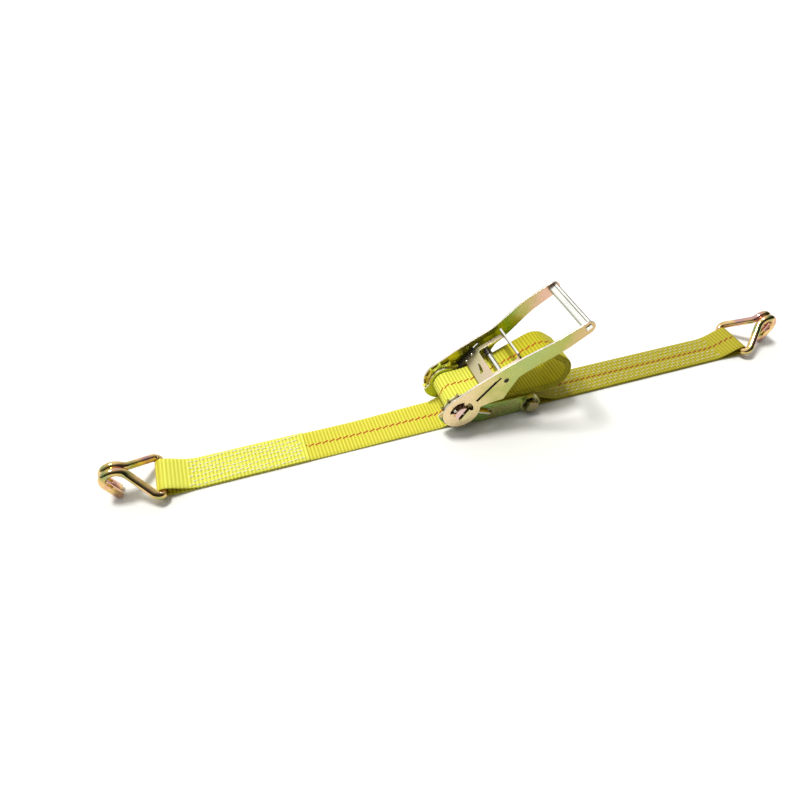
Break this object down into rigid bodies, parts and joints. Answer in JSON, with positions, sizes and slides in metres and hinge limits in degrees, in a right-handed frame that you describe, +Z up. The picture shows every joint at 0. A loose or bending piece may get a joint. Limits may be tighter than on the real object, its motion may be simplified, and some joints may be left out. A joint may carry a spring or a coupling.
{
  "type": "ratchet strap",
  "caption": "Ratchet tie-down strap: webbing with a double wire hook at each end, joined by a lever ratchet with a slotted drum, spring pawls and a wound tail.",
  "frame": {"origin": "middle of the bounding box, on the plane the strap lies on", "axes": "+X along the strap from the long strap's hook towards the short strap's hook, +Y across the webbing, +Z up"},
  "size_m": [0.9956, 0.0966, 0.1549],
  "materials": {
    "long_webbing": "woven polyester, bright lemon yellow, ribbed across, with a red centre tracer",
    "short_webbing": "woven polyester, greener yellow, ribbed across, with a red centre tracer",
    "frame_plating": "yellow passivated zinc, satin, faintly iridescent",
    "arm_plating": "yellow passivated zinc, satin, olive to pink",
    "slider_plating": "yellow passivated zinc, salmon pink",
    "pawl_plating": "yellow passivated zinc, bright gold",
    "wheel_plating": "yellow passivated zinc, satin",
    "mandrel_plating": "yellow passivated zinc, bronze pink",
    "grip_steel": "bright zinc, satin",
    "bolt_plating": "yellow passivated zinc, bronze",
    "bright_steel": "bright zinc",
    "spring_wire": "oiled spring wire",
    "hook_plating": "yellow passivated zinc, glossy, gold to pink to green"
  },
  "bodies": {
    "frame": {"frame_channel": "frame_plating", "anchor_bolt": "bolt_plating", "anchor_washers": "bright_steel", "anchor_nut": "bolt_plating", "spacer_sleeve": "bright_steel", "lock_spring": "spring_wire", "long_strap": "long_webbing", "long_strap_lap": "long_webbing", "strap_tail": "long_webbing", "tail_roll": "long_webbing", "short_strap": "short_webbing", "short_strap_upper": "short_webbing"},
    "handle": {"handle_arm_near": "arm_plating", "handle_arm_far": "arm_plating", "grip_bar": "grip_steel", "cross_rod": "bright_steel", "drive_spring": "spring_wire"},
    "drive_slider": {"drive_slider": "slider_plating"},
    "lock_pawl": {"lock_pawl": "pawl_plating"},
    "drum": {"mandrel_half_upper": "mandrel_plating", "mandrel_half_lower": "mandrel_plating", "ratchet_wheel_near": "wheel_plating", "ratchet_wheel_far": "wheel_plating", "cotter_pins": "bright_steel", "drum_webbing": "long_webbing"},
    "hook_left": {"hook_left": "hook_plating"},
    "hook_right": {"hook_right": "hook_plating"}
  },
  "joints": [
    {"name": "handle_hinge", "type": "hinge", "parent": "frame", "child": "handle", "pos_m": [-0.043, 0, 0.038], "axis": [0, -1, 0], "range_deg": [0, 135]},
    {"name": "drum_spin", "type": "hinge", "parent": "frame", "child": "drum", "pos_m": [-0.043, 0, 0.038], "axis": [0, -1, 0], "continuous": true},
    {"name": "drive_slide", "type": "slide", "parent": "handle", "child": "drive_slider", "axis": [0.6884, 0, 0.7254], "range_m": [0, 0.008], "stiffness_N_per_m": 300, "springref_m": -0.01, "deforming": ["drive_spring"]},
    {"name": "lock_slide", "type": "slide", "parent": "frame", "child": "lock_pawl", "axis": [0.9121, 0, -0.4099], "range_m": [0, 0.006], "stiffness_N_per_m": 300, "springref_m": -0.01, "deforming": ["lock_spring"]},
    {"name": "hook_left_swing", "type": "hinge", "parent": "frame", "child": "hook_left", "pos_m": [-0.429, 0, 0.0095], "axis": [0, 1, 0], "range_deg": [0, 85]},
    {"name": "hook_right_swing", "type": "hinge", "parent": "frame", "child": "hook_right", "pos_m": [0.429, 0, 0.0095], "axis": [0, -1, 0], "range_deg": [0, 85]}
  ]
}
